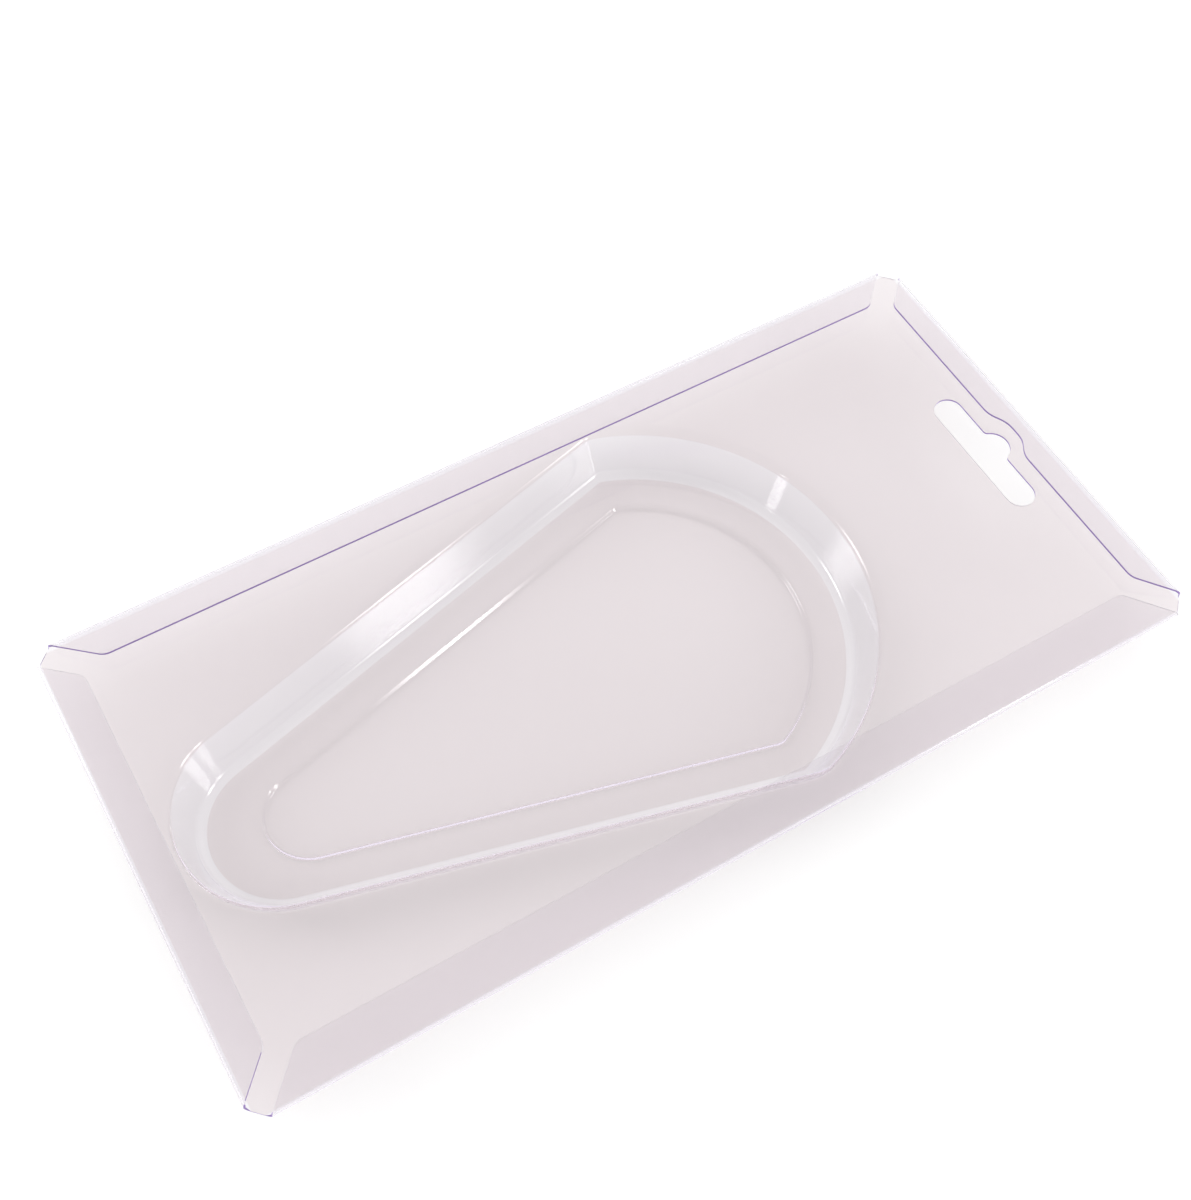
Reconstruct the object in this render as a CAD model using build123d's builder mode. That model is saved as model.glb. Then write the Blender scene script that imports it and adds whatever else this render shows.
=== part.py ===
"""Folded edge blister pack: one clear formed sheet with a drop-shaped cavity and four folded edges.

It lies with the cavity down and the open side up. X runs along the long side towards the hang slot,
Y across it and Z up, with the origin under the middle of the sheet at its lowest face.
"""
import os
from math import asin, atan2, cos, hypot, radians, sin, sqrt, tan

from build123d import *

# Folded sheet
sheet_length = 197.0
sheet_width = 100.0
sheet_thickness = 0.4
corner_cut = 3.5

# Drop outline of the cavity, where its wall would meet the flange in a sharp edge
small_end_margin = 7.8
large_end_margin = 48.0
side_margin = 6.4
small_arc_radius = 19.7
large_arc_rise = 32.4
cavity_corner_radius = 6.0

# Section of the cavity: depth on the upper side of the sheet, bend radii on the inside of each bend
cavity_depth = 10.0
wall_draft = 21.5
rim_bend = 1.7
floor_bend = 2.0

# Shallow recess in the floor, inside a channel that is wider at the small end
channel_width = 6.0
small_end_channel = 9.9
recess_corner_radius = 3.0
recess_depth = 1.0
recess_draft = 40.0
recess_rim_bend = 0.5
recess_floor_bend = 0.7

# Folded edges: a tight bend, then a mitred flap that springs up a little from the flange
fold_bend = 0.5
flap_rise = 12.0
long_flap_width = 8.4
short_flap_width = 7.1
flap_corner_radius = 3.0

# Hang slot across the sheet, with a bump in its outer side
slot_margin = 12.1
slot_length = 30.0
slot_width = 6.2
slot_overall_width = 9.0
slot_bump_radius = 3.6
slot_bump_blend = 1.0

# Notch that keeps the flap beside the hang slot clear of the bump
notch_depth = 2.5
notch_mouth = 12.0
notch_floor = 5.0
notch_blend_radius = 5.0

# Heights that follow from the section
flange_top = sheet_thickness + recess_depth + cavity_depth
flange_bottom = flange_top - sheet_thickness
fold_outside_radius = fold_bend + sheet_thickness
fold_center = (fold_outside_radius, flange_bottom + fold_outside_radius)
clear_height = flange_top + 2 * fold_outside_radius + max(long_flap_width, short_flap_width)

# Places that follow from the sheet and its margins: the slot, the arcs and the straight sides between them
slot_center = sheet_length / 2 - slot_margin
half_width = sheet_width / 2 - side_margin
large_arc_tip = sheet_length / 2 - large_end_margin
large_arc_radius = (half_width**2 + large_arc_rise**2) / (2 * large_arc_rise)
large_arc_center = large_arc_tip - large_arc_radius
small_arc_center = small_end_margin + small_arc_radius - sheet_length / 2
corner_distance = large_arc_tip - large_arc_rise - small_arc_center
corner_reach = hypot(half_width, corner_distance)
side_angle = atan2(half_width, corner_distance) - asin(small_arc_radius / corner_reach)


def blend(bend_radius, draft_angle):
    """Distance from a sharp edge between a level face and a drafted wall to where its rounding ends."""
    return bend_radius * tan(radians(45 - draft_angle / 2))


# The recess lies this far inside the rim, and its small end further in by a shift along its axis
recess_inset = (
    cavity_depth * tan(radians(wall_draft))
    + blend(floor_bend, wall_draft)
    + channel_width
    + blend(recess_rim_bend + sheet_thickness, recess_draft)
)
recess_shift = (small_end_channel - channel_width) / (1 - sin(side_angle))


def facing_down(height):
    """Plane that faces down at a height."""
    return Plane((0, 0, height), x_dir=(1, 0, 0), z_dir=(0, 0, -1))


def drop_outline(height, inset, small_shift, corner_radius):
    """Drop outline facing down at a height: a small arc, two straight sides and a large arc."""
    large = large_arc_radius - inset
    small = small_arc_radius - inset + small_shift * sin(side_angle)
    small_center = small_arc_center + small_shift
    tangent = (small_center - small * sin(side_angle), small * cos(side_angle))
    across = tangent[0] - large_arc_center
    along = across * cos(side_angle) + tangent[1] * sin(side_angle)
    side_length = sqrt(along**2 - across**2 - tangent[1] ** 2 + large**2) - along
    corner = (tangent[0] + side_length * cos(side_angle), tangent[1] + side_length * sin(side_angle))
    with BuildSketch(facing_down(height)) as drop:
        with BuildLine():
            Line(tangent, corner)
            ThreePointArc(corner, (large_arc_center + large, 0), (corner[0], -corner[1]))
            Line((corner[0], -corner[1]), (tangent[0], -tangent[1]))
            ThreePointArc((tangent[0], -tangent[1]), (small_center - small, 0), tangent)
        make_face()
        fillet(drop.vertices().group_by(Axis.X)[-1], corner_radius)
    return drop.sketch


def drafted_plug(height, outline, depth, draft_angle):
    """Plug that goes down from an outline at a height, with its walls drawn in by the draft."""
    with BuildPart() as plug:
        extrude(outline, amount=depth)
        draft(plug.faces().filter_by(Axis.Z, reverse=True), facing_down(height), draft_angle)
    return plug.part


def sheet_outline(height, margin):
    """Outline of the folded sheet with its corners cut off, trimmed back from the edges by a margin."""
    with BuildSketch(Plane.XY.offset(height)) as outline:
        Rectangle(sheet_length, sheet_width)
        chamfer(outline.vertices(), corner_cut)
        Rectangle(sheet_length - 2 * margin, sheet_width - 2 * margin, mode=Mode.INTERSECT)
    return outline.sketch


def formed_space(offset):
    """Everything above a surface that lies this far below the upper side of the formed sheet."""
    flange = flange_top - offset
    floor = flange - cavity_depth
    wall_shift = blend(offset, wall_draft)
    step_shift = blend(offset, recess_draft)
    rim = drop_outline(flange, -wall_shift, 0, cavity_corner_radius + wall_shift)
    step = drop_outline(floor, recess_inset - step_shift, recess_shift, recess_corner_radius + step_shift)
    with BuildPart() as space:
        extrude(sheet_outline(flange, fold_outside_radius), amount=clear_height - flange)
        add(drafted_plug(flange, rim, cavity_depth, wall_draft))
        add(drafted_plug(floor, step, recess_depth, recess_draft))
        flange_face = space.faces().filter_by(Axis.Z).sort_by(Axis.Z)[-2]
        fillet(flange_face.inner_wires()[0].edges(), rim_bend + sheet_thickness - offset)
        floor_face = space.faces().filter_by(Axis.Z).sort_by(Axis.Z)[1]
        fillet(floor_face.outer_wire().edges(), floor_bend + offset)
        floor_face = space.faces().filter_by(Axis.Z).sort_by(Axis.Z)[1]
        fillet(floor_face.inner_wires()[0].edges(), recess_rim_bend + sheet_thickness - offset)
        recess_face = space.faces().filter_by(Axis.Z).sort_by(Axis.Z)[0]
        fillet(recess_face.outer_wire().edges(), recess_floor_bend + offset)
    return space.part


def lower_fold(edge_length):
    """Lower half of a fold that lies along X, from the flange round to the fold's outermost line."""
    fold_half = edge_length / 2 - corner_cut
    flange_half = fold_half + fold_outside_radius
    with BuildPart() as fold:
        with BuildSketch(Plane.YZ):
            with BuildLine():
                outside = CenterArc(fold_center, fold_outside_radius, 180, 90)
                inside = CenterArc(fold_center, fold_bend, 180, 90)
                Line(outside @ 0, inside @ 0)
                Line(outside @ 1, inside @ 1)
            make_face()
        extrude(amount=flange_half, both=True)
        with BuildSketch(Plane.XY.offset(flange_bottom)):
            Polygon(
                (-fold_half, 0),
                (fold_half, 0),
                (flange_half, fold_outside_radius),
                (-flange_half, fold_outside_radius),
                align=None,
            )
        extrude(amount=fold_outside_radius, mode=Mode.INTERSECT)
    return fold.part


def notch_outline(flap_width):
    """Shallow rounded bay in the cut edge of a flap of this width."""
    with BuildSketch() as bay:
        Polygon(
            (-notch_mouth / 2, flap_width),
            (-notch_floor / 2, flap_width - notch_depth),
            (notch_floor / 2, flap_width - notch_depth),
            (notch_mouth / 2, flap_width),
            align=None,
        )
        fillet(bay.vertices().group_by(Axis.Y)[0], notch_blend_radius)
    return bay.sketch


def flap(edge_length, flap_width, notched):
    """Upper half of a fold that lies along X, and its mitred flap running towards +Y."""
    fold_half = edge_length / 2 - corner_cut
    edge_half = fold_half - flap_width
    flap_run = flap_width / cos(radians(flap_rise))
    with BuildPart() as folded:
        with BuildSketch(Plane.YZ):
            with BuildLine():
                outside = CenterArc(fold_center, fold_outside_radius, 90 + flap_rise, 90 - flap_rise)
                inside = CenterArc(fold_center, fold_bend, 90 + flap_rise, 90 - flap_rise)
                upper = PolarLine(outside @ 0, flap_run, flap_rise)
                lower = PolarLine(inside @ 0, flap_run, flap_rise)
                Line(outside @ 1, inside @ 1)
                Line(upper @ 1, lower @ 1)
            make_face()
        extrude(amount=fold_half, both=True)
        with BuildSketch(Plane.XY.offset(flange_bottom)) as trim:
            Polygon(
                (-fold_half, 0),
                (fold_half, 0),
                (edge_half, flap_width),
                (-edge_half, flap_width),
                align=None,
            )
            fillet(trim.vertices().group_by(Axis.Y)[-1], flap_corner_radius)
            if notched:
                add(notch_outline(flap_width), mode=Mode.SUBTRACT)
                mouth = trim.vertices().group_by(Axis.Y)[-1].sort_by(Axis.X)[1:-1]
                fillet(mouth, notch_blend_radius)
        extrude(amount=clear_height - flange_bottom, mode=Mode.INTERSECT)
    return folded.part


def slot_outline(height):
    """Hang slot: a round-ended slot across the sheet, with its bump towards the end of the sheet."""
    bump_center = slot_overall_width - slot_width / 2 - slot_bump_radius
    with BuildSketch(Plane.XY.offset(height)) as slot:
        with Locations((slot_center, 0)):
            SlotOverall(slot_length, slot_width, rotation=90)
        with Locations((slot_center + bump_center, 0)):
            Circle(slot_bump_radius)
        outer_side = slot.vertices().group_by(Axis.X)[1]
        fillet(outer_side.sort_by(Axis.Y)[1:-1], slot_bump_blend)
    return slot.sketch


# The four folded edges: place of the fold, its length, the width of its flap and whether it is notched
folded_edges = [
    (Location((0, -sheet_width / 2, 0), (0, 0, 0)), sheet_length, long_flap_width, False),
    (Location((0, sheet_width / 2, 0), (0, 0, 180)), sheet_length, long_flap_width, False),
    (Location((-sheet_length / 2, 0, 0), (0, 0, -90)), sheet_width, short_flap_width, False),
    (Location((sheet_length / 2, 0, 0), (0, 0, 90)), sheet_width, short_flap_width, True),
]

with BuildPart() as blister:
    # Flange and cavity: what lies between the upper and the lower side of the sheet
    add(formed_space(sheet_thickness))
    add(formed_space(0), mode=Mode.SUBTRACT)

    # Folded edges, with their flaps back over the open side
    for place, edge_length, flap_width, notched in folded_edges:
        with Locations(place):
            add(lower_fold(edge_length))
            add(flap(edge_length, flap_width, notched))

    # Hang slot
    extrude(slot_outline(flange_bottom), amount=sheet_thickness, mode=Mode.SUBTRACT)

blister.part.label = "blister_sheet"
os.makedirs("parts", exist_ok=True)
export_step(blister.part, "parts/blister_sheet.step")
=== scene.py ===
"""Folded edge blister pack: the clear sheet on a white table, in soft studio light.

The sheet is one closed mesh with the form of its solid. It is laid out as the upper side of the sheet,
each point with its normal, and the lower side lies one thickness behind it.
"""
from math import asin, atan2, cos, hypot, pi, radians, sin, sqrt, tan

import bpy
from mathutils import Matrix, Vector
from mathutils.geometry import tessellate_polygon


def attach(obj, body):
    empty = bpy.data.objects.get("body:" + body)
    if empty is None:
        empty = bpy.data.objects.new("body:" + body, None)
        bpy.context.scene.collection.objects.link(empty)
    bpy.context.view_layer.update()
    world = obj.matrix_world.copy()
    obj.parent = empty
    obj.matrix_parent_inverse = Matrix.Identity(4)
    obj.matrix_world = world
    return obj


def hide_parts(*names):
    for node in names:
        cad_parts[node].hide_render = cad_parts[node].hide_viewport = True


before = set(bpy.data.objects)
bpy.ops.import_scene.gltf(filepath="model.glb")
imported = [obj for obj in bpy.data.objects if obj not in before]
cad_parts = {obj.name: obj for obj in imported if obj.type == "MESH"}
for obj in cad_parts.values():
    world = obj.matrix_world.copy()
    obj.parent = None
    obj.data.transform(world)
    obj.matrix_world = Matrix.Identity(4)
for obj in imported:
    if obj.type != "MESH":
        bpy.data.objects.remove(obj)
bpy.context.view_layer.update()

millimetres = 1000

# Folded sheet, in metres
sheet_length = 0.197
sheet_width = 0.100
sheet_thickness = 0.0004
corner_cut = 0.0035

# Drop outline of the cavity and its section
small_end_margin = 0.0078
large_end_margin = 0.048
side_margin = 0.0064
small_arc_radius = 0.0197
large_arc_rise = 0.0324
cavity_corner_radius = 0.006
cavity_depth = 0.010
wall_draft = radians(21.5)
rim_bend = 0.0017
floor_bend = 0.002

# Recess in the cavity's floor
channel_width = 0.006
small_end_channel = 0.0099
recess_corner_radius = 0.003
recess_depth = 0.001
recess_draft = radians(40)
recess_rim_bend = 0.0005
recess_floor_bend = 0.0007

# Folded edges
fold_bend = 0.0005
flap_rise = radians(12)
long_flap_width = 0.0084
short_flap_width = 0.0071
flap_corner_radius = 0.003

# Hang slot, and the notch in the flap beside it
slot_margin = 0.0121
slot_length = 0.030
slot_width = 0.0062
slot_overall_width = 0.009
slot_bump_radius = 0.0036
slot_bump_blend = 0.001
notch_depth = 0.0025
notch_mouth = 0.012
notch_floor = 0.005
notch_blend_radius = 0.005

# Steps along each curve of the mesh
small_arc_steps = 96
large_arc_steps = 128
corner_steps = 24
bend_steps = 12
recess_bend_steps = 8
fold_steps = 16
edge_arc_steps = 12
join_gap = 1e-6
smooth_angle = radians(30)

# Heights and places that follow
flange_top = sheet_thickness + recess_depth + cavity_depth
fold_outside_radius = fold_bend + sheet_thickness
fold_height = flange_top + fold_bend
slot_center = sheet_length / 2 - slot_margin
half_width = sheet_width / 2 - side_margin
large_arc_tip = sheet_length / 2 - large_end_margin
large_arc_radius = (half_width**2 + large_arc_rise**2) / (2 * large_arc_rise)
large_arc_center = large_arc_tip - large_arc_radius
small_arc_center = small_end_margin + small_arc_radius - sheet_length / 2
corner_distance = large_arc_tip - large_arc_rise - small_arc_center
corner_reach = hypot(half_width, corner_distance)
side_angle = atan2(half_width, corner_distance) - asin(small_arc_radius / corner_reach)


def blend(bend_radius, draft):
    """Distance from a sharp edge between a level face and a drafted wall to where its rounding ends."""
    return bend_radius * tan(pi / 4 - draft / 2)


recess_inset = (
    cavity_depth * tan(wall_draft)
    + blend(floor_bend, wall_draft)
    + channel_width
    + blend(recess_rim_bend + sheet_thickness, recess_draft)
)
recess_shift = (small_end_channel - channel_width) / (1 - sin(side_angle))

# Upper side of the sheet: points, their normals, and faces as lists of point numbers
points = []
normals = []
faces = []


def add_point(place, normal):
    """Adds a point of the upper side and gives its number."""
    points.append(Vector(place))
    normals.append(Vector(normal))
    return len(points) - 1


def add_face(corners):
    """Adds a face of the upper side, turned so that it faces the way its points do."""
    a, b, c = (points[i] for i in corners[:3])
    turned = (b - a).cross(c - a).dot(normals[corners[0]]) < 0
    faces.append(corners[::-1] if turned else corners)


def add_strip(row, next_row, closed):
    """Adds the faces between two rows of points."""
    for i in range(len(row) if closed else len(row) - 1):
        j = (i + 1) % len(row)
        add_face([row[i], row[j], next_row[j], next_row[i]])


def add_flat(loops):
    """Adds the flat faces inside a loop of points, around any holes."""
    numbers = [i for loop in loops for i in loop]
    in_millimetres = [[points[i] * millimetres for i in loop] for loop in loops]
    for triangle in tessellate_polygon(in_millimetres):
        add_face([numbers[i] for i in triangle])


def arc(center, radius, start, end, steps):
    """Points along an arc in plan, both ends included."""
    angles = [start + (end - start) * i / steps for i in range(steps + 1)]
    return [(center[0] + radius * cos(a), center[1] + radius * sin(a)) for a in angles]


def rounded(outline, radii):
    """Open outline in plan with its inner corners rounded to the given radii."""
    path = [outline[0]]
    for before, corner, after, radius in zip(outline, outline[1:], outline[2:], radii):
        corner = Vector(corner)
        back = (Vector(before) - corner).normalized()
        on = (Vector(after) - corner).normalized()
        half = back.angle(on) / 2
        center = corner + (back + on).normalized() * radius / sin(half)
        start = corner + back * radius / tan(half) - center
        swing = start.angle_signed(corner + on * radius / tan(half) - center)
        for i in range(edge_arc_steps + 1):
            path.append(center + Matrix.Rotation(-swing * i / edge_arc_steps, 2) @ start)
    path.append(outline[-1])
    return [tuple(p) for p in path]


def drop_outline(inset, small_shift, corner_radius):
    """Drop outline in plan: points with their outward directions, counterclockwise from the large arc."""
    large = large_arc_radius - inset
    small = small_arc_radius - inset + small_shift * sin(side_angle)
    small_center = small_arc_center + small_shift
    side_way = pi / 2 + side_angle
    reach = large - corner_radius
    offset = (small_center - large_arc_center) * cos(side_way) + small - corner_radius
    swing = side_way - asin(sqrt(1 - (offset / reach) ** 2))
    corner = (large_arc_center + reach * cos(swing), reach * sin(swing))
    runs = [
        ((large_arc_center, 0), large, -swing, swing, large_arc_steps),
        (corner, corner_radius, swing, side_way, corner_steps),
        ((small_center, 0), small, side_way, 2 * pi - side_way, small_arc_steps),
        ((corner[0], -corner[1]), corner_radius, -side_way, -swing, corner_steps),
    ]
    outline = []
    for center, radius, start, end, steps in runs:
        ways = [start + (end - start) * i / steps for i in range(steps + 1)]
        run = [(x, y, cos(a), sin(a)) for (x, y), a in zip(arc(center, radius, start, end, steps), ways)]
        joins = outline and hypot(run[0][0] - outline[-1][0], run[0][1] - outline[-1][1]) < join_gap
        outline += run[1:] if joins else run
    return outline[:-1]


def step_section(top, depth, draft, rim_radius, floor_radius, steps):
    """Section of the upper side down a drafted wall: distance in, height, and the normal's two parts."""
    turns = [(pi / 2 - draft) * i / steps for i in range(steps + 1)]
    rim_in = -blend(rim_radius, draft)
    floor_in = depth * tan(draft) + blend(floor_radius, draft)
    rim_height = top - rim_radius
    floor_height = top - depth + floor_radius
    section = [
        (rim_in + rim_radius * sin(a), rim_height + rim_radius * cos(a), sin(a), cos(a))
        for a in turns
    ]
    section += [
        (floor_in - floor_radius * sin(a), floor_height - floor_radius * cos(a), sin(a), cos(a))
        for a in reversed(turns)
    ]
    return section


def add_step(outline, section):
    """Adds a drafted wall round an outline, and gives its first and last rows of points."""
    rows = []
    for inset, height, inward, upward in section:
        rows.append(
            [
                add_point((x - inset * wx, y - inset * wy, height), (-inward * wx, -inward * wy, upward))
                for x, y, wx, wy in outline
            ]
        )
    for row, next_row in zip(rows, rows[1:]):
        add_strip(row, next_row, True)
    return rows[0], rows[-1]


def slot_outline():
    """Hang slot in plan: a round-ended slot across the sheet, with its bump in the outer side."""
    end_radius = slot_width / 2
    end_center = slot_length / 2 - end_radius
    bump_center = slot_center + slot_overall_width - end_radius - slot_bump_radius
    blend_x = slot_center + end_radius + slot_bump_blend
    blend_y = sqrt((slot_bump_radius + slot_bump_blend) ** 2 - (blend_x - bump_center) ** 2)
    swing = atan2(blend_y, blend_x - bump_center)
    outline = arc((slot_center, -end_center), end_radius, -pi, 0, 2 * edge_arc_steps)
    outline += arc((blend_x, -blend_y), slot_bump_blend, pi, pi - swing, edge_arc_steps)
    outline += arc((bump_center, 0), slot_bump_radius, -swing, swing, 2 * edge_arc_steps)
    outline += arc((blend_x, blend_y), slot_bump_blend, pi + swing, pi, edge_arc_steps)
    outline += arc((slot_center, end_center), end_radius, 0, pi, 2 * edge_arc_steps)
    following = outline[1:] + outline[:1]
    return [p for p, q in zip(outline, following) if hypot(p[0] - q[0], p[1] - q[1]) > join_gap]


def flap_outline(fold_half, start, flap_width, notched):
    """Cut edge of a flap in plan, from one end of its fold to the other, where the fold lies along X."""
    edge_half = fold_half - flap_width
    bay = [
        (notch_mouth / 2, flap_width),
        (notch_floor / 2, flap_width - notch_depth),
        (-notch_floor / 2, flap_width - notch_depth),
        (-notch_mouth / 2, flap_width),
    ]
    corners = [(fold_half - start, start), (edge_half, flap_width)]
    corners += bay if notched else []
    corners += [(-edge_half, flap_width), (start - fold_half, start)]
    radii = [flap_corner_radius] + [notch_blend_radius] * (len(corners) - 4) + [flap_corner_radius]
    return rounded(corners, radii)


def add_fold(place, edge_length, flap_width, notched):
    """Adds a folded edge and its flap, and gives the two points where it meets the flange."""
    fold_half = edge_length / 2 - corner_cut
    turn = place.to_3x3()
    rows = []
    for i in range(fold_steps + 1):
        way = -pi / 2 - (pi - flap_rise) * i / fold_steps
        outside = fold_outside_radius * (1 + cos(way))
        half = fold_half + outside if way > -pi else fold_half - outside
        y = fold_outside_radius + fold_bend * cos(way)
        z = fold_height + fold_bend * sin(way)
        normal = turn @ Vector((0, -cos(way), -sin(way)))
        rows.append([add_point(place @ Vector((x, y, z)), normal) for x in (-half, half)])
    for row, next_row in zip(rows, rows[1:]):
        add_strip(row, next_row, False)

    down = Vector((0, sin(flap_rise), -cos(flap_rise)))
    start = fold_outside_radius * (1 - sin(flap_rise))
    start_height = fold_height + fold_outside_radius * cos(flap_rise)
    edge = flap_outline(fold_half, start, flap_width, notched)
    loop = [rows[-1][0], rows[-1][1]]
    for x, y in edge[1:-1]:
        top = Vector((x, y, start_height + (y - start) * tan(flap_rise)))
        loop.append(add_point(place @ (top + down * sheet_thickness), turn @ down))
    add_flat([loop])
    return rows[0]


def standing(x, y, turn):
    """Placement of a fold: its middle in plan, and its turn about Z."""
    return Matrix.Translation((x, y, 0)) @ Matrix.Rotation(turn, 4, "Z")


# Folded edges, counterclockwise from the near long one
folded_edges = [
    (standing(0, -sheet_width / 2, 0), sheet_length, long_flap_width, False),
    (standing(sheet_length / 2, 0, pi / 2), sheet_width, short_flap_width, True),
    (standing(0, sheet_width / 2, pi), sheet_length, long_flap_width, False),
    (standing(-sheet_length / 2, 0, -pi / 2), sheet_width, short_flap_width, False),
]
flange_edge = []
for place, edge_length, flap_width, notched in folded_edges:
    flange_edge += add_fold(place, edge_length, flap_width, notched)
folded_faces = len(faces)

# Cavity and recess, with the flat flange, channel and floor between them
up = (0, 0, 1)
cavity_rim, cavity_floor = add_step(
    drop_outline(0, 0, cavity_corner_radius),
    step_section(
        flange_top,
        cavity_depth,
        wall_draft,
        rim_bend + sheet_thickness,
        floor_bend,
        bend_steps,
    ),
)
rim_faces = bend_steps * len(cavity_rim)
wall_faces = len(faces) - folded_faces - rim_faces
recess_rim, recess_floor = add_step(
    drop_outline(recess_inset, recess_shift, recess_corner_radius),
    step_section(
        flange_top - cavity_depth,
        recess_depth,
        recess_draft,
        recess_rim_bend + sheet_thickness,
        recess_floor_bend,
        recess_bend_steps,
    ),
)
slot_edge = [add_point((x, y, flange_top), up) for x, y in slot_outline()]
add_flat([flange_edge, cavity_rim, slot_edge])
add_flat([cavity_floor, recess_rim])
add_flat([recess_floor])

# Places of the sheet's materials: flat parts, walls and folded edges painted lighter, violet cut edges,
# and cut edges with a painted gleam
flat_slot, painted_lighter_slot, violet_slot, painted_gleam_slot = range(4)

# Lower side one thickness behind, and the cut edges between the two
count = len(points)
lower = [p - n * sheet_thickness for p, n in zip(points, normals)]
sheet_faces = faces + [[i + count for i in reversed(face)] for face in faces]
corner_normals = [normals[i] for face in faces for i in face]
corner_normals += [-normals[i] for face in faces for i in reversed(face)]
used = {(a, b) for face in faces for a, b in zip(face, face[1:] + face[:1])}
cut = {a: b for a, b in used if (b, a) not in used}
before = {b: a for a, b in cut.items()}
cut_faces = [[b, a, a + count, b + count] for a, b in cut.items()]


def cut_normal(a):
    """Outward normal of the cut edge that starts at a point."""
    return (points[cut[a]] - points[a]).cross(normals[a]).normalized()


# Cut edges that face the far side and the slot end get a painted gleam, a pale colour for light catching
# them; the rest keep the violet
edge_slots = []
for b, a, _, _ in cut_faces:
    here = cut_normal(a)
    edge_slots.append(painted_gleam_slot if here.x + here.y > 0 else violet_slot)
    ends = []
    for other in (cut_normal(before[a]), cut_normal(b)):
        smooth = here.angle(other) < smooth_angle
        ends.append((here + other).normalized() if smooth else here)
    corner_normals += [ends[1], ends[0], ends[0], ends[1]]

mesh = bpy.data.meshes.new("formed_sheet")
mesh.from_pydata(points + lower, [], sheet_faces + cut_faces)
mesh.polygons.foreach_set("use_smooth", [True] * len(mesh.polygons))
mesh.normals_split_custom_set(corner_normals)
sheet = bpy.data.objects.new("formed_sheet", mesh)
bpy.context.collection.objects.link(sheet)


def new_material(name):
    """Empty node material, its node tree, and the input of its output node."""
    material = bpy.data.materials.new(name)
    material.use_nodes = True
    tree = material.node_tree
    tree.nodes.clear()
    output = tree.nodes.new("ShaderNodeOutputMaterial")
    return material, tree, output.inputs["Surface"]


def add_math(tree, operation, *values):
    """Adds a Math node, with its inputs linked or set, and gives its result."""
    node = tree.nodes.new("ShaderNodeMath")
    node.operation = operation
    for socket, value in zip(node.inputs, values):
        if isinstance(value, bpy.types.NodeSocket):
            tree.links.new(value, socket)
        else:
            socket.default_value = value
    return node.outputs["Value"]


def add_range(tree, value, low, high):
    """Adds a Map Range node that takes 0 to 1 to low to high, and gives its result."""
    node = tree.nodes.new("ShaderNodeMapRange")
    node.inputs["To Min"].default_value = low
    node.inputs["To Max"].default_value = high
    tree.links.new(value, node.inputs["Value"])
    return node.outputs["Result"]


def add_height(tree, vector):
    """Adds a node that takes a vector apart, and gives its Z."""
    node = tree.nodes.new("ShaderNodeSeparateXYZ")
    tree.links.new(vector, node.inputs["Vector"])
    return node.outputs["Z"]


def add_mix(tree, factor, first, second):
    """Adds a Mix Shader between two shader nodes, and gives it."""
    node = tree.nodes.new("ShaderNodeMixShader")
    tree.links.new(factor, node.inputs["Fac"])
    tree.links.new(first.outputs[0], node.inputs[1])
    tree.links.new(second.outputs[0], node.inputs[2])
    return node


# Clear plastic: faint waves, an uneven haze, and the lamplight lost at low angles and on steep walls
plastic_ior = 1.53
wave_scale = 45.0
wave_detail = 2.0
wave_strength = 0.04
wave_height = 0.0008
haze_range = (0.02, 0.06)
passed_light = (0.97, 0.955, 0.96, 1)
no_light = (0, 0, 0, 1)
glancing_blend = 0.5
glancing_power = 5.0
upright_loss = 0.32
level_loss = 0.05

# Light caught in the sheet leaks out straight, with a tint, after two reflections
most_reflections = 1.5
leak_tint = (0.955, 0.935, 0.975, 1)


def clear_plastic(name, tint):
    """Clear glossy plastic that lamplight passes, less at low angles and on steep walls."""
    material, tree, surface = new_material(name)
    nodes = tree.nodes
    link = tree.links.new
    plastic = nodes.new("ShaderNodeBsdfPrincipled")
    plastic.inputs["Base Color"].default_value = tint
    plastic.inputs["IOR"].default_value = plastic_ior
    plastic.inputs["Transmission Weight"].default_value = 1.0
    place = nodes.new("ShaderNodeTexCoord")
    waves = nodes.new("ShaderNodeTexNoise")
    waves.inputs["Scale"].default_value = wave_scale
    waves.inputs["Detail"].default_value = wave_detail
    link(place.outputs["Object"], waves.inputs["Vector"])
    bump = nodes.new("ShaderNodeBump")
    bump.inputs["Strength"].default_value = wave_strength
    bump.inputs["Distance"].default_value = wave_height
    link(waves.outputs["Fac"], bump.inputs["Height"])
    link(bump.outputs["Normal"], plastic.inputs["Normal"])
    link(add_range(tree, waves.outputs["Fac"], *haze_range), plastic.inputs["Roughness"])

    slant = nodes.new("ShaderNodeLayerWeight")
    slant.inputs["Blend"].default_value = glancing_blend
    glancing = add_math(tree, "POWER", slant.outputs["Facing"], glancing_power)
    facing = nodes.new("ShaderNodeNewGeometry")
    upward = add_height(tree, facing.outputs["Normal"])
    level = add_math(tree, "ABSOLUTE", upward)
    steep = add_range(tree, level, upright_loss, level_loss)
    passed = nodes.new("ShaderNodeMix")
    passed.data_type = "RGBA"
    passed.inputs["A"].default_value = passed_light
    passed.inputs["B"].default_value = no_light
    link(add_math(tree, "MAXIMUM", glancing, steep), passed.inputs["Factor"])
    through = nodes.new("ShaderNodeBsdfTransparent")
    link(passed.outputs["Result"], through.inputs["Color"])

    path = nodes.new("ShaderNodeLightPath")
    lit = add_mix(tree, path.outputs["Is Shadow Ray"], plastic, through)
    glowing = add_mix(tree, path.outputs["Is Diffuse Ray"], lit, through)
    caught = add_math(tree, "GREATER_THAN", path.outputs["Glossy Depth"], most_reflections)
    leak = nodes.new("ShaderNodeBsdfTransparent")
    leak.inputs["Color"].default_value = leak_tint
    link(add_mix(tree, caught, glowing, leak).outputs["Shader"], surface)
    return material


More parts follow.
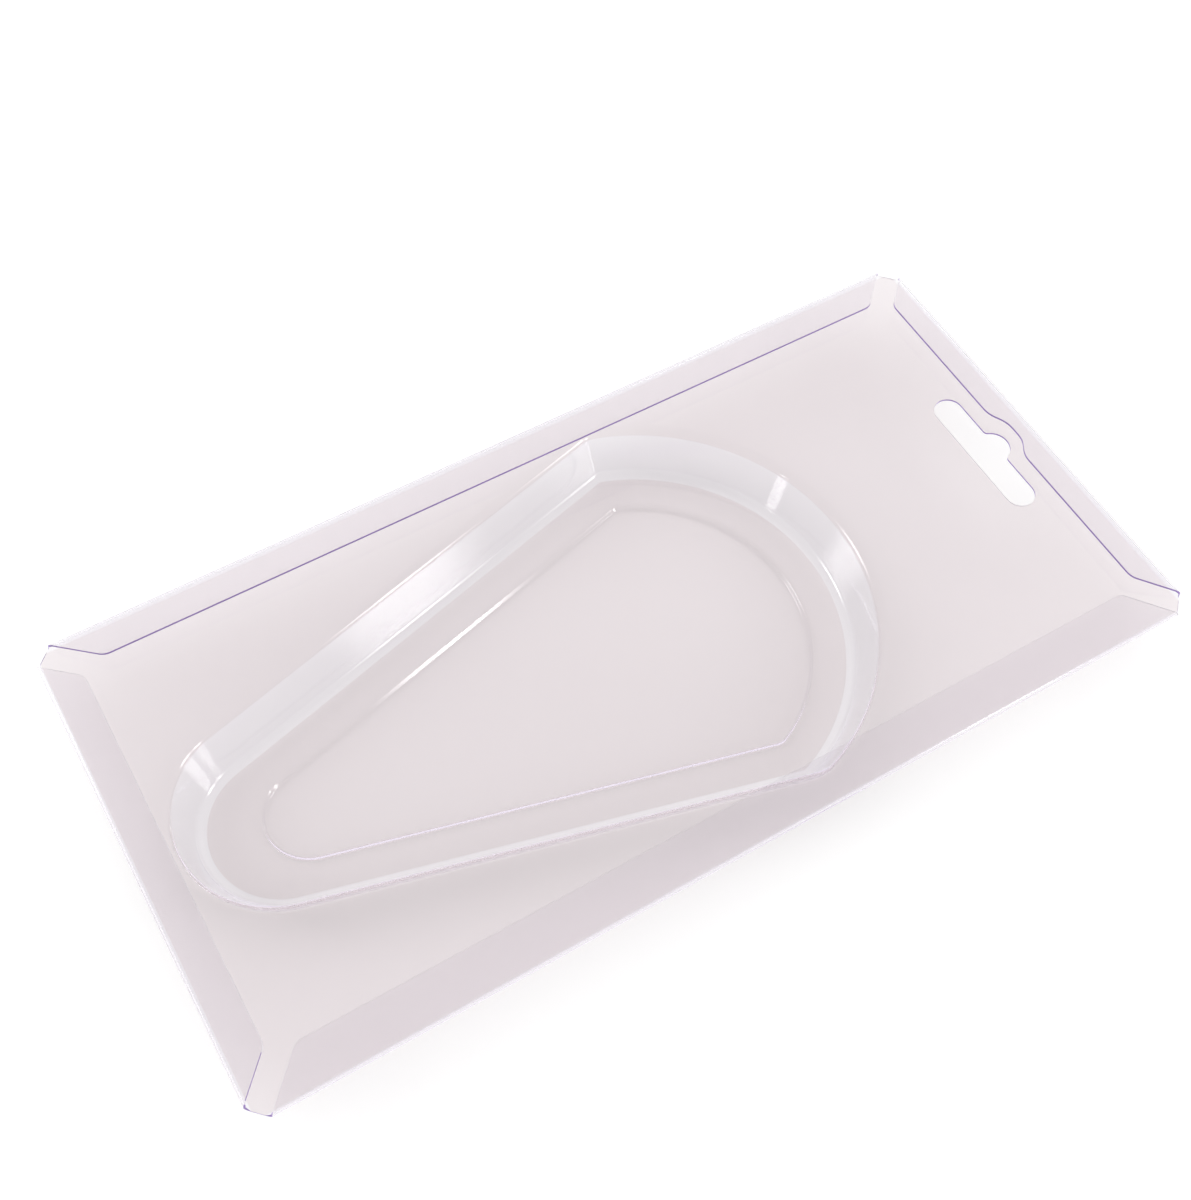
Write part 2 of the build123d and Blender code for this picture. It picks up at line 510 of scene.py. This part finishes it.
def plain_gloss(name, colour, roughness):
    """Plain glossy material of one colour."""
    material, tree, surface = new_material(name)
    gloss = tree.nodes.new("ShaderNodeBsdfPrincipled")
    gloss.inputs["Base Color"].default_value = colour
    gloss.inputs["Roughness"].default_value = roughness
    tree.links.new(gloss.outputs["BSDF"], surface)
    return material


# The flat parts and the rim have the plastic's warm tint. The walls and folded edges have a paler, cooler
# copy of it, painted lighter as a painted reflection of the bright surroundings. The cut edges gather the
# plastic's violet tint, and where they face the far side and the slot end they have a painted gleam, a
# pale colour for light that catches them.
flat_tint = (0.855, 0.807, 0.82, 1)
paler_painted_tint = (0.917, 0.9, 0.922, 1)
violet_tint = (0.34, 0.23, 0.55, 1)
painted_gleam_tint = (0.9, 0.87, 0.93, 1)
edge_roughness = 0.35
mesh.materials.append(clear_plastic("flat_plastic", flat_tint))
mesh.materials.append(clear_plastic("plastic_painted_lighter", paler_painted_tint))
mesh.materials.append(plain_gloss("violet_edge", violet_tint, edge_roughness))
mesh.materials.append(plain_gloss("painted_gleam_edge", painted_gleam_tint, edge_roughness))

# Walls and folded edges take the copy of the plastic painted lighter (painted reflection); the flat parts
# and the rim take the plain one
side_slots = [painted_lighter_slot] * folded_faces + [flat_slot] * rim_faces + [painted_lighter_slot] * wall_faces
side_slots += [flat_slot] * (len(faces) - len(side_slots))
mesh.polygons.foreach_set("material_index", side_slots + side_slots + edge_slots)

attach(sheet, "root")
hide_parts("blister_sheet")

# White table, just under the sheet, which keeps the sheet's shadow and is lifted a little where it is seen
table_size = 4.0
table_gap = 0.0001
table_white = (0.95, 0.95, 0.95, 1)
table_lift = 0.1
bpy.ops.mesh.primitive_plane_add(size=table_size, location=(0, 0, -table_gap))
table = bpy.context.object
table.name = "table"
white, tree, surface = new_material("white_table")
matt = tree.nodes.new("ShaderNodeBsdfDiffuse")
matt.inputs["Color"].default_value = table_white
lift = tree.nodes.new("ShaderNodeEmission")
path = tree.nodes.new("ShaderNodeLightPath")
seen = add_math(tree, "ADD", path.outputs["Is Camera Ray"], path.outputs["Is Glossy Ray"])
seen = add_math(tree, "ADD", seen, path.outputs["Is Transmission Ray"])
tree.links.new(add_math(tree, "MINIMUM", seen, table_lift), lift.inputs["Strength"])
both = tree.nodes.new("ShaderNodeAddShader")
tree.links.new(matt.outputs["BSDF"], both.inputs[0])
tree.links.new(lift.outputs["Emission"], both.inputs[1])
tree.links.new(both.outputs["Shader"], surface)
table.data.materials.append(white)

# Soft surroundings, from the horizon to overhead: how they look, and how they light the scene
sky_white = (1, 1, 1, 1)
sky_look = (1.0, 0.85)
sky_glow = (0.2, 1.1)
world = bpy.data.worlds.new("studio")
bpy.context.scene.world = world
world.use_nodes = True
tree = world.node_tree
tree.nodes.clear()
output = tree.nodes.new("ShaderNodeOutputWorld")
sky = tree.nodes.new("ShaderNodeBackground")
sky.inputs["Color"].default_value = sky_white
place = tree.nodes.new("ShaderNodeTexCoord")
height = add_height(tree, place.outputs["Generated"])
path = tree.nodes.new("ShaderNodeLightPath")
seen = add_math(tree, "MAXIMUM", path.outputs["Is Camera Ray"], path.outputs["Is Glossy Ray"])
seen = add_math(tree, "MAXIMUM", seen, path.outputs["Is Transmission Ray"])
strength = tree.nodes.new("ShaderNodeMix")
tree.links.new(seen, strength.inputs["Factor"])
tree.links.new(add_range(tree, height, *sky_glow), strength.inputs["A"])
tree.links.new(add_range(tree, height, *sky_look), strength.inputs["B"])
tree.links.new(strength.outputs["Result"], sky.inputs["Strength"])
tree.links.new(sky.outputs["Background"], output.inputs["Surface"])


def add_softbox(name, azimuth, elevation, distance, size, radiance, fade):
    """Adds an area lamp in a direction from the sheet's middle, which fades to its edges."""
    lamp = bpy.data.lights.new(name, "AREA")
    lamp.shape = "RECTANGLE"
    lamp.size, lamp.size_y = size
    lamp.energy = radiance * pi * lamp.size * lamp.size_y
    lamp.use_nodes = True
    tree = lamp.node_tree
    place = tree.nodes.new("ShaderNodeNewGeometry")
    across = tree.nodes.new("ShaderNodeSeparateXYZ")
    tree.links.new(place.outputs["Parametric"], across.inputs["Vector"])
    shares = []
    for axis in "XY":
        inward = add_math(tree, "PINGPONG", across.outputs[axis], 0.5)
        share = tree.nodes.new("ShaderNodeMapRange")
        share.interpolation_type = "SMOOTHSTEP"
        share.inputs["From Max"].default_value = fade / 2
        tree.links.new(inward, share.inputs["Value"])
        shares.append(share.outputs["Result"])
    tree.links.new(add_math(tree, "MULTIPLY", *shares), tree.nodes["Emission"].inputs["Strength"])
    softbox = bpy.data.objects.new(name, lamp)
    way = Vector((cos(radians(azimuth)), sin(radians(azimuth)), tan(radians(elevation))))
    softbox.location = way.normalized() * distance
    softbox.rotation_euler = way.to_track_quat("Z", "Y").to_euler()
    softbox.visible_camera = False
    bpy.context.collection.objects.link(softbox)
    return softbox


# Lamps: azimuth and elevation in degrees, distance and size in metres, radiance, and the share that fades.
# The key lamp lights the table through the sheet, and isn't mirrored in it.
add_softbox("back_softbox", 55, 40, 0.9, (1.6, 0.75), 0.2, 0.25)
key = add_softbox("key_softbox", 138, 42, 0.9, (0.7, 0.7), 1.5, 0.5)
key.visible_glossy = False
key.visible_transmission = False
add_softbox("right_softbox", -40.5, 22.5, 0.8, (0.24, 0.3), 13.0, 0.9)
add_softbox("front_softbox", -58.3, 19, 0.45, (0.11, 0.15), 15.0, 1.0)
add_softbox("left_softbox", 143, 21.5, 0.8, (0.36, 0.33), 8.0, 0.9)
add_softbox("small_softbox", 183, 14, 0.8, (0.08, 0.08), 8.0, 0.5)

# Camera at the photograph's angle, fitted to its lines
camera_place = (-0.09005, -0.13231, 0.28411)
camera_turn = (radians(31.426), radians(-1.266), radians(-30.338))
camera = bpy.data.cameras.new("camera")
camera.lens = 49.93
camera.sensor_width = 36.0
camera_object = bpy.data.objects.new("camera", camera)
camera_object.location = camera_place
camera_object.rotation_euler = camera_turn
bpy.context.collection.objects.link(camera_object)
bpy.context.scene.camera = camera_object
bpy.context.scene.view_settings.view_transform = "Standard"

# Light runs on inside clear plastic, so that its bends don't end up black
most_bounces = 32
light_paths = bpy.context.scene.cycles
light_paths.max_bounces = most_bounces
light_paths.glossy_bounces = most_bounces
light_paths.transmission_bounces = most_bounces
light_paths.transparent_max_bounces = most_bounces
